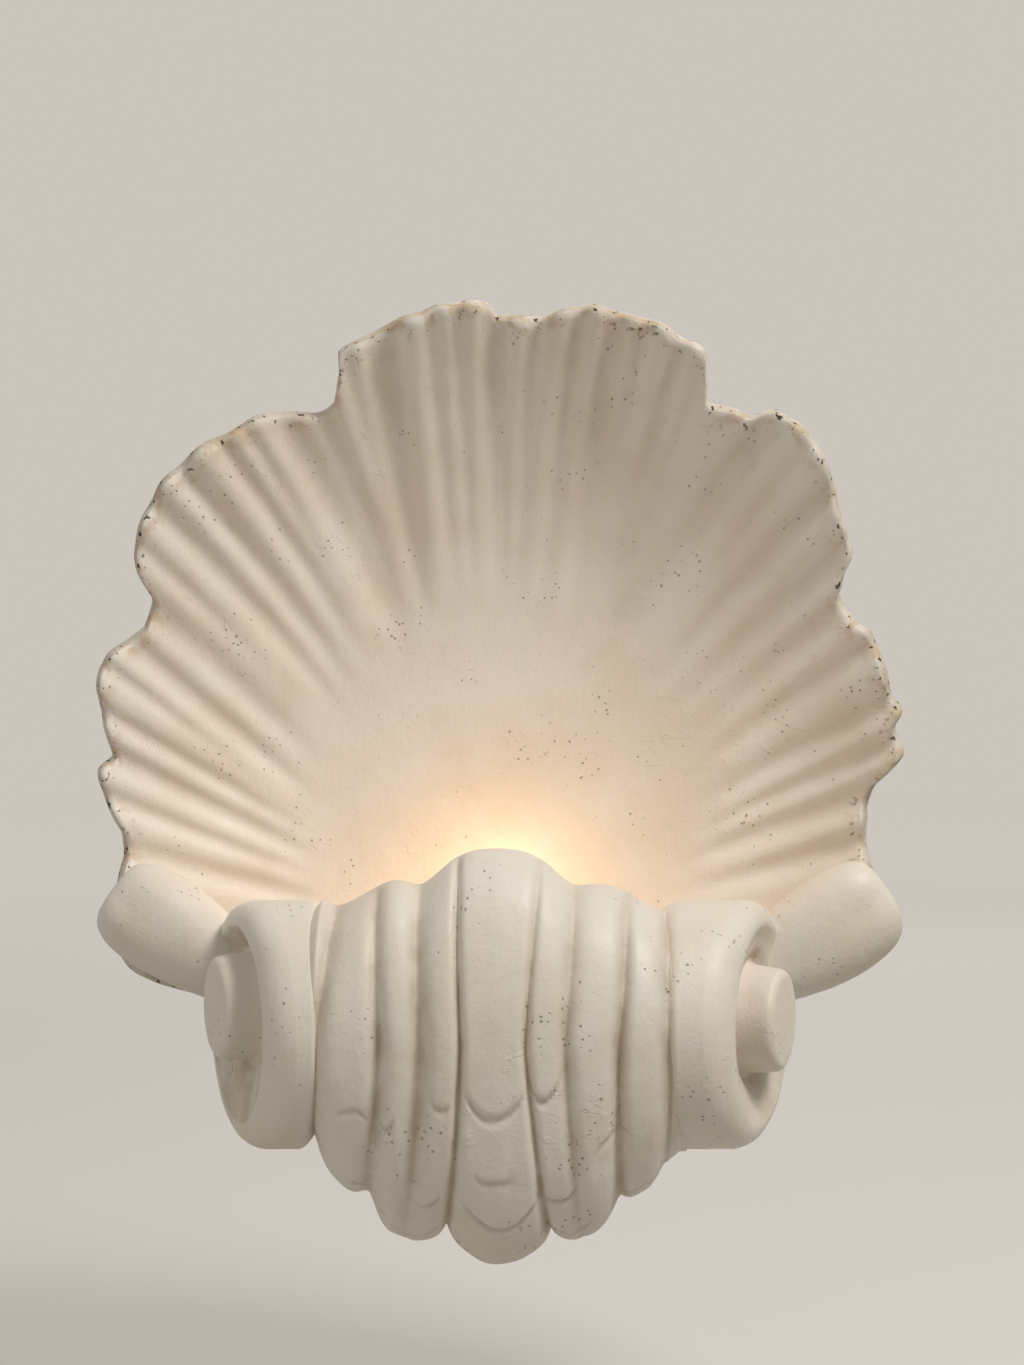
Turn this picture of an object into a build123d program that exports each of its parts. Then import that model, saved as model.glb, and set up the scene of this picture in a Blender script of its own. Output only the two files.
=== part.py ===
from build123d import *

import os
from math import cos, pi, radians, sin, tan

# Shell wall sconce: an uplight cast in plaster as a fluted scallop shell, with a scrolled
# hood in front that hides the lamp. The casting hangs on two hooks of a steel wall plate.
# Frame: millimetres, +Z up, +Y into the wall, and the wall face at Y = 0. The origin is
# the middle of the wall plate's back, so the object stands out along -Y.

# ---------------------------------------------------------------- driving dimensions
# fan casting
wall = 10.0  # plaster thickness, measured along Y
recess_depth = 18.0  # wall face to the back of the flat panel
hub_z = -75.0  # all flutes run towards this height on the middle plane
flute_count = 16  # flutes in one full turn about the hub
flute_swing = 4.5  # how far a flute moves a contour in or out at the rim
rim_standoff = 88.0  # depth of the top rim in front of the wall
rim_power = 1.95  # how late the shell turns forward: 2 is a parabola
back_growth = 3.0  # the back contours stand this much wider, so steep parts keep their wall
contour_points = 72
contour_levels = 8
block_depth = 128.0  # the rim outline is cut through this depth

# pillow-shaped ears at the two lower corners of the fan
ear_x = 171.0
ear_y = -78.0
ear_z = -74.0
ear_half_length = 35.0
ear_half_width = 19.0
ear_slope = 36.0  # degrees that the ear falls towards the middle

# wall ring at the back of the fan casting
ring_inner_width = 136.0
ring_inner_height = 124.0
ring_z = -10.0
ring_wall = 12.0
ring_corner = 30.0

# scroll hood casting
drum_radius = 59.0
drum_y = -118.0
drum_z = -114.0
drum_half_length = 127.0  # middle plane to the end disc, on the drum's axis
drum_tilt = 21.7  # degrees that each end disc turns towards the front
lip_lead = 19.0  # the middle of the lip stands this far in front of the drums' tops
keel_lead = 27.0  # and the middle of the underside this far in front of their bottoms
eye_radius = 25.5
eye_height = 11.5
eye_lift = 6.0  # the eye sits this far above the drum's centre
moat_width = 6.0
moat_depth = 3.0
hood_wall = 13.0
drum_overlap = 3.0  # the drum's shoulder starts this far inside the last valley
drum_shoulder = 7.0
drum_edge = 4.0
eye_edge = 2.5
neck_height = 70.0
neck_length = 30.0
keel_rise = 26.0  # the underside climbs this much towards the wall
rib_steps = 3
pocket_stations = (24.0, 44.0, 67.0)
ear_stations = (-0.97, -0.8, -0.5, 0, 0.5, 0.8, 0.97)  # shares of an ear's half length
side_points = 18
# rib crests and valleys: distance from the middle, top, front and underside
ribs = [
    (0.0, -27.0, -190.0, -217.0),
    (15.5, -31.0, -183.0, -206.0),
    (24.0, -37.0, -188.0, -209.0),
    (33.0, -42.0, -182.0, -206.0),
    (44.0, -42.0, -186.0, -207.0),
    (55.5, -51.0, -176.0, -192.0),
    (67.0, -52.0, -180.0, -187.0),
    (79.5, -57.0, -169.0, -166.0),
]

# wall plate
plate_width = 110.0
plate_height = 60.0
plate_thickness = 2.0
plate_corner = 6.0
fixing_spacing = 80.0
fixing_hole_radius = 2.75
hook_spacing = 44.0
hook_width = 8.0
hook_z = 16.0  # top of the hook's shelf, which carries the strap
hook_reach = 11.0  # plate front to the back of the upturned tongue
hook_rise = 8.0
hook_thickness = 2.0
cable_hole_radius = 6.0
cable_hole_z = -14.0
grommet_bore_radius = 3.5
grommet_lip = 2.0

# hanger strap on the back of the fan casting
strap_half_width = 60.0
strap_centre_half_width = 34.0
strap_joggle = 7.0
strap_height = 30.0
strap_thickness = 1.6
strap_standoff = 6.0  # panel back to the strap's middle part, room for the tongues
slot_side_clearance = 3.0
slot_end_clearance = 0.5
lift_off = 10.0  # travel that frees the hooks

# terminal block and leads
block_x = -28.0
block_z = -20.0
block_width = 32.0
block_height = 16.0
block_depth_y = 13.0
terminal_well = 5.0
lead_radius = 1.8
earth_radius = 1.25
bush_x = -29.0
bush_z = -60.0
bush_bore_radius = 5.2
bush_radius = 6.6
bush_lip_radius = 8.0
bush_lip = 1.5

# lamp and its holder
lamp_y = -78.0
bulb_top_z = -42.0
glass_radius = 22.5
glass_wall = 0.8
glass_length = 54.0
glass_waist_angle = 52.0  # where the ball leaves its sphere, from straight down
neck_length = 4.0
stem_height = 22.0
filament_rise = 9.0
filament_span = 18.0
filament_bow = 4.0
filament_radius = 0.35
neck_radius = 8.6
cap_radius = 6.75
cap_height = 18.0
collar_radius = 9.3
collar_height = 3.0
insulator_height = 3.0
tip_radius = 2.4
tip_height = 1.5
holder_radius = 14.0
holder_height = 38.0
holder_bore_radius = 8.2
holder_bore_depth = 24.5
shell_wall = 0.5
shell_clearance = 0.45
contact_width = 5.0
contact_thickness = 0.6
seat_gap = 0.3
bracket_width = 30.0
bracket_thickness = 2.0
bracket_leg_height = 44.0
bracket_reach = 20.0  # lamp axis to the free end of the bracket
nipple_radius = 5.0
nipple_bore_radius = 3.4
nipple_inside = 8.0

# small fixings
screw_radius = 2.0
screw_head_radius = 3.8
screw_head_height = 2.4
insert_radius = 3.5
insert_length = 8.0
washer_radius = 5.0
washer_thickness = 1.0
earth_lug_length = 9.0
nut_across_flats = 14.0
nut_height = 3.0
fit_gap = 0.1

# ------------------------------------------------------------------- derived places
panel_back_y = -recess_depth
panel_front_y = panel_back_y - wall
glass_bottom_z = bulb_top_z - glass_length
cap_top_z = glass_bottom_z - collar_height
cap_bottom_z = cap_top_z - cap_height
tip_bottom_z = cap_bottom_z - insulator_height - tip_height
holder_top_z = cap_top_z - seat_gap
bracket_top_z = holder_top_z - holder_height
bracket_bottom_z = bracket_top_z - bracket_thickness
nipple_bottom_z = bracket_bottom_z - washer_thickness - nut_height - 2.0

os.makedirs("parts", exist_ok=True)


def finish(piece, name):
    """Name a finished piece and write it."""
    piece.part.label = name
    export_step(piece.part, "parts/" + name + ".step")


def upright_plane(y):
    """A sketch plane at depth y, facing the room: sketch X is X and sketch Y is Z."""
    return Plane((0, y, 0), x_dir=(1, 0, 0), z_dir=(0, -1, 0))


# ---------------------------------------------------------------------- fan casting
def floor_radius(turn):
    """Edge of the flat panel about the hub: an egg, tall above and narrow at the sides."""
    return 91.0 + 22.0 * cos(turn) + 22.0 * cos(2 * turn)


def rim_radius(turn):
    """Mean radius of the rim about the hub."""
    return 203.0 + 86.0 * cos(turn) + 18.0 * cos(2 * turn) + 4.0 * cos(3 * turn)


def rim_rise(turn):
    """Height of the rim in front of the panel, falling by a quarter towards the sides."""
    return (rim_standoff + panel_front_y) * (0.78 + 0.18 * cos(turn) + 0.04 * cos(2 * turn))


def contour(rise, growth, swing):
    """Closed curve of the bowl at one height above the panel, as (x, z) points."""
    points = []
    for i in range(contour_points):
        turn = 2 * pi * i / contour_points
        share = (rise / rim_rise(turn)) ** (1 / rim_power)
        radius = floor_radius(turn) + (rim_radius(turn) - floor_radius(turn)) * share
        radius += growth + swing * share * cos(flute_count * turn)
        points.append((radius * sin(turn), hub_z + radius * cos(turn)))
    return points


def bowl_sections(floor_y, growth, swing):
    """Contour faces of one bowl surface, closer together near its floor."""
    sections = []
    for level in range(contour_levels):
        rise = (block_depth + panel_front_y) * (level / (contour_levels - 1)) ** 2
        with BuildSketch(upright_plane(floor_y - rise)) as section:
            with BuildLine():
                Spline(*contour(rise, growth, swing), periodic=True)
            make_face()
        sections.append(section.sketch.face())
    return sections


# Rim outline seen from the front, one list for each lobe, from the left ear round the
# top to the right ear. Steps between two lobes are straight.
left_ear = [(-130, -124), (-150, -108), (-172, -98), (-191, -89), (-200, -71), (-190, -39)]
left_low = [(-190, -27), (-198, -10), (-200, 4), (-194, 11)]
left_side = [(-198, 30), (-200, 48), (-195, 62), (-178, 76)]
left_shoulder = [(-174, 90), (-182, 118), (-165, 150), (-122, 179), (-92, 184), (-83, 189)]
top_left = [(-80, 215), (-71, 216), (-52, 228), (-31, 234), (-5, 236)]
top_middle = [(-2, 230), (24, 230)]
top_right = [(32, 234), (45, 234), (65, 230), (85, 223), (102, 214)]
right_shoulder = [(104, 188), (141, 182), (166, 155), (176, 118), (180, 106)]
right_side = [(174, 92), (194, 61), (202, 27), (199, 18), (202, 9), (191, -6)]
right_ear = [(183, -15), (187, -42), (199, -60), (198, -79), (190, -91), (150, -108), (130, -124)]
lobes = [left_ear, left_low, left_side, left_shoulder, top_left, top_middle]
lobes += [top_right, right_shoulder, right_side, right_ear]
# the rim under the hood, where the hood's underside meets it
low_rim = [(-130, -124), (-112, -150), (-70, -182), (0, -198), (70, -182), (112, -150), (130, -124)]

bracket_screw_z = bracket_top_z + bracket_leg_height - 9.0
bracket_screw_places = [(-9.0, bracket_screw_z), (9.0, bracket_screw_z)]
earth_place = (0.0, bracket_screw_z - 12.0)
earth_lug_y = panel_front_y - bracket_thickness - washer_thickness - earth_radius
strap_screw_x = (strap_centre_half_width + strap_joggle + strap_half_width) / 2
strap_z = hook_z + strap_height / 2 - 20.0
strap_screw_places = [(-strap_screw_x, strap_z), (strap_screw_x, strap_z)]

def ear_plane(side):
    """Plane of an ear's outline: its X runs along the ear, down towards the middle."""
    slope = radians(ear_slope)
    along = (-side * cos(slope), 0, -sin(slope))
    return Plane((side * ear_x, ear_y, ear_z), x_dir=along, z_dir=(0, -1, 0))


def ear_section(side, along):
    """Round section of an ear, at a place along it."""
    spread = (1 - (along / ear_half_length) ** 2) ** 0.5
    place = ear_plane(side)
    with BuildSketch(Plane(place.origin + place.x_dir * along, z_dir=place.x_dir)) as section:
        Circle(ear_half_width * spread)
    return section.sketch.face()


with BuildPart() as bowl_front:
    loft(bowl_sections(panel_front_y, 0.0, flute_swing), ruled=True)

with BuildPart() as rim_prism:
    with BuildSketch(upright_plane(0)):
        with BuildLine():
            for lobe in lobes:
                Spline(*lobe) if len(lobe) > 2 else Line(*lobe)
            for left, right in zip(lobes, lobes[1:]):
                Line(left[-1], right[0])
            Spline(*low_rim)
        make_face()
    extrude(amount=block_depth)

with BuildPart() as behind_fan:
    add(rim_prism.part)
    add(bowl_front.part, mode=Mode.SUBTRACT)

with BuildPart() as fan_shell:
    loft(bowl_sections(panel_back_y, back_growth, 0.0), ruled=True)
    with BuildSketch(upright_plane(0)):
        with Locations((0, ring_z)):
            outer = (ring_inner_width + 2 * ring_wall, ring_inner_height + 2 * ring_wall)
            RectangleRounded(*outer, ring_corner)
            inner = (ring_inner_width, ring_inner_height)
            RectangleRounded(*inner, ring_corner - ring_wall, mode=Mode.SUBTRACT)
    extrude(amount=recess_depth + 3 * wall)
    add(behind_fan.part, mode=Mode.INTERSECT)
    # holes for the lead bush and the screw inserts
    with BuildSketch(upright_plane(0)):
        with Locations((bush_x, bush_z)):
            Circle(bush_radius + fit_gap)
    extrude(amount=block_depth, mode=Mode.SUBTRACT)
    with BuildSketch(upright_plane(panel_back_y)):
        with Locations(*strap_screw_places):
            Circle(insert_radius)
    extrude(amount=insert_length, mode=Mode.SUBTRACT)
    with BuildSketch(upright_plane(panel_front_y)):
        with Locations(*bracket_screw_places):
            Circle(insert_radius)
    extrude(amount=-insert_length, mode=Mode.SUBTRACT)
    # ears: a pillow of plaster rolled over each lower corner
    for side in (-1, 1):
        loft([ear_section(side, ear_half_length * share) for share in ear_stations])
finish(fan_shell, "fan_shell")


# --------------------------------------------------------------- scroll hood casting
neck_back_y = panel_front_y + wall / 2


def oval_side(start_u, middle_u, end_u, first, last):
    """Points from the section's top to its bottom, bulging to middle_u between."""
    points = []
    for i in range(side_points + 1):
        turn = pi * i / side_points
        share = i / side_points
        base_u = start_u * (1 - share) + end_u * share
        v = drum_z + abs(cos(turn)) * ((first if share < 0.5 else last) - drum_z)
        points.append((base_u + (middle_u - base_u) * sin(turn), v))
    return points


def lead_share(x):
    """How far the lip and keel lead the drums: all of it in the middle, none at the ends."""
    return 1 - (x / drum_half_length) ** 2


def scroll_section(x, top, front, bottom):
    """Closed cross-section: a rounded front, and a straight back that the fan trims."""
    lip = drum_y - lip_lead * lead_share(x)
    keel = drum_y - keel_lead * lead_share(x)
    with BuildSketch(Plane.YZ.offset(x)) as section:
        with BuildLine():
            face = Polyline(*oval_side(lip, front, keel, top, bottom))
            back_low = (neck_back_y, bottom + keel_rise)
            Polyline(face @ 1, back_low, (neck_back_y, top), face @ 0)
        make_face()
    return section.sketch.face()


def pocket_section(x, top, front, bottom):
    """Cross-section of the hollow behind the hood, open at its top."""
    lip = drum_y - lip_lead * lead_share(x) + hood_wall
    keel = drum_y - keel_lead * lead_share(x) + hood_wall
    floor = bottom + hood_wall
    with BuildSketch(Plane.YZ.offset(x)) as section:
        with BuildLine():
            ball = oval_side(lip, front + hood_wall, keel, top + hood_wall, floor)
            inside = Polyline(*ball)
            back = [(neck_back_y, floor + keel_rise), (neck_back_y, hook_z), (lip, hook_z)]
            Polyline(inside @ 1, *back, inside @ 0)
        make_face()
    return section.sketch.face()


def blended_ribs():
    """The crests and valleys, with cosine steps between them, over the whole width."""
    half = [ribs[0]]
    for low, high in zip(ribs, ribs[1:]):
        for step in range(1, rib_steps + 1):
            share = step / rib_steps
            ease = (1 - cos(pi * share)) / 2
            shape = [a + (b - a) * ease for a, b in zip(low[1:], high[1:])]
            half.append((low[0] + (high[0] - low[0]) * share, *shape))
    return [(-x, *shape) for x, *shape in reversed(half[1:])] + half


end_turn = radians(drum_tilt)
end_plane = Plane(
    (drum_half_length, drum_y, drum_z),
    x_dir=(sin(end_turn), cos(end_turn), 0),
    z_dir=(cos(end_turn), -sin(end_turn), 0),
)
drum_start = ribs[-1][0] - drum_overlap

# one drum of the scroll: a cylinder with a rounded shoulder, cut by the tilted end plane
with BuildPart() as drum_form:
    with BuildSketch(Plane.YZ.offset(drum_start)):
        with Locations((drum_y, drum_z)):
            Circle(drum_radius)
    extrude(amount=drum_half_length)
    chamfer(drum_form.edges().filter_by(GeomType.CIRCLE).sort_by(Axis.X)[0], drum_shoulder)
    split(bisect_by=end_plane, keep=Keep.BOTTOM)
    fillet(drum_form.edges().filter_by(GeomType.ELLIPSE), drum_edge)
    with BuildSketch(end_plane):
        with Locations((0, eye_lift)):
            Circle(eye_radius + moat_width)
            Circle(eye_radius, mode=Mode.SUBTRACT)
    extrude(amount=-moat_depth, mode=Mode.SUBTRACT)
    with BuildSketch(end_plane):
        with Locations((0, eye_lift)):
            Circle(eye_radius)
    extrude(amount=eye_height)
    fillet(drum_form.faces().sort_by(Axis.X)[-1].edges(), eye_edge)
    # the neck that carries the drum on the fan
    with BuildSketch(Plane.YZ.offset(drum_start)):
        with Locations(((drum_y + neck_back_y) / 2, drum_z)):
            Rectangle(neck_back_y - drum_y, neck_height)
    extrude(amount=neck_length)

pocket_ribs = [rib for rib in ribs if rib[0] in pocket_stations]

with BuildPart() as scroll_hood:
    loft([scroll_section(*rib) for rib in blended_ribs()], ruled=True)
    add(drum_form.part)
    mirror(drum_form.part, about=Plane.YZ)
    # the hollow steps down in height from the middle towards the drums
    for rib in pocket_ribs:
        flat_side = pocket_section(0, *rib[1:])
        extrude(flat_side, amount=rib[0], both=True, mode=Mode.SUBTRACT)
    # everything behind the fan's front surface is cut away, so that the hood seats on it
    add(behind_fan.part, mode=Mode.SUBTRACT)
    # the ears bear on the drums' back edges, which are cut to fit them
    for side in (-1, 1):
        ear = [ear_section(side, ear_half_length * share) for share in ear_stations]
        loft(ear, mode=Mode.SUBTRACT)
finish(scroll_hood, "scroll_hood")


# ------------------------------------------------------------ wall plate with its hooks
with BuildPart() as wall_plate:
    with BuildSketch(upright_plane(0)):
        RectangleRounded(plate_width, plate_height, plate_corner)
        with GridLocations(fixing_spacing, 0, 2, 1):
            Circle(fixing_hole_radius, mode=Mode.SUBTRACT)
        with Locations((0, cable_hole_z)):
            Circle(cable_hole_radius, mode=Mode.SUBTRACT)
    extrude(amount=plate_thickness)
    # each hook: a shelf that carries the strap, with an upturned tongue
    for x in (-hook_spacing / 2, hook_spacing / 2):
        with BuildSketch(Plane.YZ.offset(x)):
            with BuildLine():
                front = -(plate_thickness + hook_reach)
                shelf_low = hook_z - hook_thickness
                Polyline(
                    (-plate_thickness, hook_z),
                    (front, hook_z),
                    (front, hook_z + hook_rise),
                    (front - hook_thickness, hook_z + hook_rise),
                    (front - hook_thickness, shelf_low),
                    (-plate_thickness, shelf_low),
                    close=True,
                )
            make_face()
        extrude(amount=hook_width / 2, both=True)
finish(wall_plate, "wall_plate")

with BuildPart() as cable_grommet:
    with BuildSketch(upright_plane(0)):
        with Locations((0, cable_hole_z)):
            Circle(cable_hole_radius - fit_gap)
    extrude(amount=plate_thickness)
    with BuildSketch(upright_plane(-plate_thickness)):
        with Locations((0, cable_hole_z)):
            Circle(cable_hole_radius + grommet_lip)
    extrude(amount=grommet_lip)
    with BuildSketch(upright_plane(0)):
        with Locations((0, cable_hole_z)):
            Circle(grommet_bore_radius)
    extrude(amount=plate_thickness + grommet_lip, mode=Mode.SUBTRACT)
finish(cable_grommet, "cable_grommet")


# ----------------------------------------------------- hanger strap behind the casting
strap_front_y = panel_back_y + strap_standoff
strap_low = strap_z - strap_height / 2
slot_width = hook_width + 2 * slot_side_clearance
slot_low = hook_z - hook_thickness - lift_off - slot_end_clearance

with BuildPart() as hanger_strap:
    with BuildSketch(Plane.XY.offset(strap_low)):
        with BuildLine():
            centre = strap_centre_half_width
            foot = strap_centre_half_width + strap_joggle
            bent = Polyline(
                (-strap_half_width, panel_back_y + strap_thickness),
                (-foot, panel_back_y + strap_thickness),
                (-centre, strap_front_y + strap_thickness),
                (centre, strap_front_y + strap_thickness),
                (foot, panel_back_y + strap_thickness),
                (strap_half_width, panel_back_y + strap_thickness),
            )
            under = Polyline(
                (-strap_half_width, panel_back_y),
                (-foot - strap_thickness / 2, panel_back_y),
                (-centre - strap_thickness / 2, strap_front_y),
                (centre + strap_thickness / 2, strap_front_y),
                (foot + strap_thickness / 2, panel_back_y),
                (strap_half_width, panel_back_y),
            )
            Line(bent @ 0, under @ 0)
            Line(bent @ 1, under @ 1)
        make_face()
    extrude(amount=strap_height)
    with BuildSketch(upright_plane(0)):
        with Locations((0, (slot_low + hook_z) / 2)):
            with GridLocations(hook_spacing, 0, 2, 1):
                Rectangle(slot_width, hook_z - slot_low)
        with Locations(*strap_screw_places):
            Circle(screw_radius + fit_gap)
    extrude(amount=recess_depth, mode=Mode.SUBTRACT)
finish(hanger_strap, "hanger_strap")


def screws(places, head_y, direction, length):
    """Pan-head screws along Y: head_y is under the head, direction 1 points to the wall."""
    with BuildPart() as group:
        with BuildSketch(upright_plane(head_y)):
            with Locations(*places):
                Circle(screw_head_radius)
        extrude(amount=-direction * screw_head_height)
        fillet(group.edges().group_by(Axis.Y)[-1 if direction > 0 else 0], screw_head_height * 0.4)
        with BuildSketch(upright_plane(head_y)):
            with Locations(*places):
                Circle(screw_radius)
        extrude(amount=direction * length)
    return group


def inserts(places, mouth_y, direction):
    """Threaded sleeves cast into the plaster, open at mouth_y; direction as for screws."""
    with BuildPart() as group:
        with BuildSketch(upright_plane(mouth_y)):
            with Locations(*places):
                Circle(insert_radius)
                Circle(screw_radius, mode=Mode.SUBTRACT)
        extrude(amount=direction * insert_length)
    return group


strap_head_y = panel_back_y + strap_thickness
strap_screws = screws(strap_screw_places, strap_head_y, 1, strap_thickness + insert_length - 1)
finish(strap_screws, "strap_screws")
strap_inserts = inserts(strap_screw_places, panel_back_y, 1)
finish(strap_inserts, "strap_inserts")


# ------------------------------------------------------- terminal block and lead bush
with BuildPart() as terminal_block:
    with BuildSketch(upright_plane(panel_back_y)):
        with Locations((block_x, block_z)):
            Rectangle(block_width, block_height)
    extrude(amount=-block_depth_y)
    chamfer(terminal_block.faces().sort_by(Axis.Y)[-1].edges(), 1.0)
    with BuildSketch(upright_plane(panel_back_y + block_depth_y)):
        with Locations((block_x, block_z)):
            with GridLocations(block_width / 3, block_height / 2, 3, 2):
                Circle(screw_radius + fit_gap)
    extrude(amount=terminal_well, mode=Mode.SUBTRACT)
finish(terminal_block, "terminal_block")

with BuildPart() as terminal_screws:
    with BuildSketch(upright_plane(panel_back_y + block_depth_y - terminal_well)):
        with Locations((block_x, block_z)):
            with GridLocations(block_width / 3, block_height / 2, 3, 2):
                Circle(screw_radius)
    extrude(amount=-terminal_well / 2)
finish(terminal_screws, "terminal_screws")

with BuildPart() as lead_bush:
    with BuildSketch(upright_plane(panel_back_y)):
        with Locations((bush_x, bush_z)):
            Circle(bush_radius)
    extrude(amount=wall)
    with BuildSketch(upright_plane(panel_front_y)):
        with Locations((bush_x, bush_z)):
            Circle(bush_lip_radius)
    extrude(amount=bush_lip)
    with BuildSketch(upright_plane(panel_back_y)):
        with Locations((bush_x, bush_z)):
            Circle(bush_bore_radius)
    extrude(amount=wall + bush_lip, mode=Mode.SUBTRACT)
finish(lead_bush, "lead_bush")


# ------------------------------------------------------------------ lamp and its holder
bracket_back_y = panel_front_y
bracket_front_y = panel_front_y - bracket_thickness
bracket_bend = 4.0

with BuildPart() as lamp_bracket:
    with BuildSketch(Plane.YZ):
        with BuildLine():
            outline = Polyline(
                (bracket_back_y, bracket_top_z + bracket_leg_height),
                (bracket_back_y, bracket_bottom_z),
                (lamp_y - bracket_reach, bracket_bottom_z),
                (lamp_y - bracket_reach, bracket_top_z),
                (bracket_front_y, bracket_top_z),
                (bracket_front_y, bracket_top_z + bracket_leg_height),
                close=True,
            )
        make_face()
    extrude(amount=bracket_width / 2, both=True)
    inner_bend = lamp_bracket.edges().filter_by(Axis.X).sort_by_distance((0, bracket_front_y, bracket_top_z))[0]
    fillet(inner_bend, bracket_bend - bracket_thickness)
    outer_bend = lamp_bracket.edges().filter_by(Axis.X).sort_by_distance((0, bracket_back_y, bracket_bottom_z))[0]
    fillet(outer_bend, bracket_bend)
    fillet(lamp_bracket.edges().filter_by(Axis.Z).group_by(Axis.Y)[0], bracket_bend)
    fillet(lamp_bracket.edges().filter_by(Axis.Y).group_by(Axis.Z)[-1], bracket_bend)
    with BuildSketch(Plane.XY.offset(bracket_top_z)):
        with Locations((0, lamp_y)):
            Circle(nipple_radius + fit_gap)
    extrude(amount=-bracket_thickness, mode=Mode.SUBTRACT)
    with BuildSketch(upright_plane(bracket_front_y)):
        with Locations(*bracket_screw_places, earth_place):
            Circle(screw_radius + fit_gap)
    extrude(amount=-bracket_thickness, mode=Mode.SUBTRACT)
finish(lamp_bracket, "lamp_bracket")

with BuildPart() as bracket_washers:
    with BuildSketch(upright_plane(bracket_front_y)):
        with Locations(*bracket_screw_places):
            Circle(washer_radius)
            Circle(screw_radius + fit_gap, mode=Mode.SUBTRACT)
    extrude(amount=washer_thickness)
finish(bracket_washers, "bracket_washers")

washer_front_y = bracket_front_y - washer_thickness
bracket_screw_length = washer_thickness + bracket_thickness + insert_length - 1
bracket_screws = screws(bracket_screw_places, washer_front_y, -1, bracket_screw_length)
finish(bracket_screws, "bracket_screws")
bracket_inserts = inserts(bracket_screw_places, panel_front_y, -1)
finish(bracket_inserts, "bracket_inserts")

with BuildPart() as nipple:
    with BuildSketch(Plane.XY.offset(nipple_bottom_z)):
        with Locations((0, lamp_y)):
            Circle(nipple_radius)
            Circle(nipple_bore_radius, mode=Mode.SUBTRACT)
    extrude(amount=bracket_top_z + nipple_inside - nipple_bottom_z)
finish(nipple, "nipple")

with BuildPart() as lock_washer:
    with BuildSketch(Plane.XY.offset(bracket_bottom_z)):
        with Locations((0, lamp_y)):
            Circle(nut_across_flats / 2)
            Circle(nipple_radius + fit_gap, mode=Mode.SUBTRACT)
    extrude(amount=-washer_thickness)
finish(lock_washer, "lock_washer")

with BuildPart() as nipple_nut:
    with BuildSketch(Plane.XY.offset(bracket_bottom_z - washer_thickness)):
        with Locations((0, lamp_y)):
            RegularPolygon(nut_across_flats / 2, 6, major_radius=False)
            Circle(nipple_radius, mode=Mode.SUBTRACT)
    extrude(amount=-nut_height)
finish(nipple_nut, "nipple_nut")

with BuildPart() as holder_body:
    with BuildSketch(Plane.XY.offset(bracket_top_z)):
        with Locations((0, lamp_y)):
            Circle(holder_radius)
    extrude(amount=holder_height)
    fillet(holder_body.edges().group_by(Axis.Z)[-1], 2.0)
    # a waist where the fingers grip, then the bores for the lamp and the nipple
    with BuildSketch(Plane.XY.offset(holder_top_z)):
        with Locations((0, lamp_y)):
            Circle(holder_bore_radius)
    extrude(amount=-holder_bore_depth, mode=Mode.SUBTRACT)
    with BuildSketch(Plane.XY.offset(bracket_top_z)):
        with Locations((0, lamp_y)):
            Circle(nipple_radius)
    extrude(amount=nipple_inside, mode=Mode.SUBTRACT)
finish(holder_body, "holder_body")

shell_inner = cap_radius + shell_clearance
with BuildPart() as holder_shell:
    with BuildSketch(Plane.XY.offset(cap_bottom_z)):
        with Locations((0, lamp_y)):
            Circle(shell_inner + shell_wall)
            Circle(shell_inner, mode=Mode.SUBTRACT)
    extrude(amount=cap_height - 2.0)
    # the sleeve's foot reaches the wall of the bore
    with BuildSketch(Plane.XY.offset(cap_bottom_z)):
        with Locations((0, lamp_y)):
            Circle(holder_bore_radius)
            Circle(shell_inner, mode=Mode.SUBTRACT)
    extrude(amount=shell_wall)
finish(holder_shell, "holder_shell")

bore_floor_z = holder_top_z - holder_bore_depth
contact_top_z = tip_bottom_z - seat_gap
with BuildPart() as holder_contact:
    with BuildSketch(Plane.XZ.offset(-lamp_y)):
        with BuildLine():
            Polyline(
                (-contact_width, bore_floor_z),
                (contact_width, bore_floor_z),
                (contact_width, bore_floor_z + contact_thickness),
                (contact_width / 3, contact_top_z),
                (-contact_width / 3, contact_top_z),
                (-contact_width, bore_floor_z + contact_thickness),
                close=True,
            )
        make_face()
    extrude(amount=contact_width / 3, both=True)
finish(holder_contact, "holder_contact")

lamp_axis = Axis((0, lamp_y, 0), (0, 0, 1))
glass_centre_z = bulb_top_z - glass_radius


def glass_profile(radius, neck, bottom_z):
    """Half outline of the golf-ball glass: a ball that flows into its neck."""
    with BuildSketch(Plane.XZ.offset(-lamp_y)) as profile:
        with BuildLine():
            turn = radians(glass_waist_angle)
            waist = (radius * sin(turn), glass_centre_z - radius * cos(turn))
            ball = ThreePointArc((0, glass_centre_z + radius), (radius, glass_centre_z), waist)
            flare = Spline(waist, (neck, bottom_z + neck_length), tangents=[ball % 1, (0, -1)])
            Polyline(flare @ 1, (neck, bottom_z), (0, bottom_z), (0, glass_centre_z + radius))
        make_face()
    return profile.sketch.face()


with BuildPart() as bulb_glass:
    revolve(glass_profile(glass_radius, neck_radius, glass_bottom_z), axis=lamp_axis)
    inside = glass_profile(glass_radius - glass_wall, neck_radius - glass_wall, glass_bottom_z)
    revolve(inside, axis=lamp_axis, mode=Mode.SUBTRACT)
finish(bulb_glass, "bulb_glass")

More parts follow.
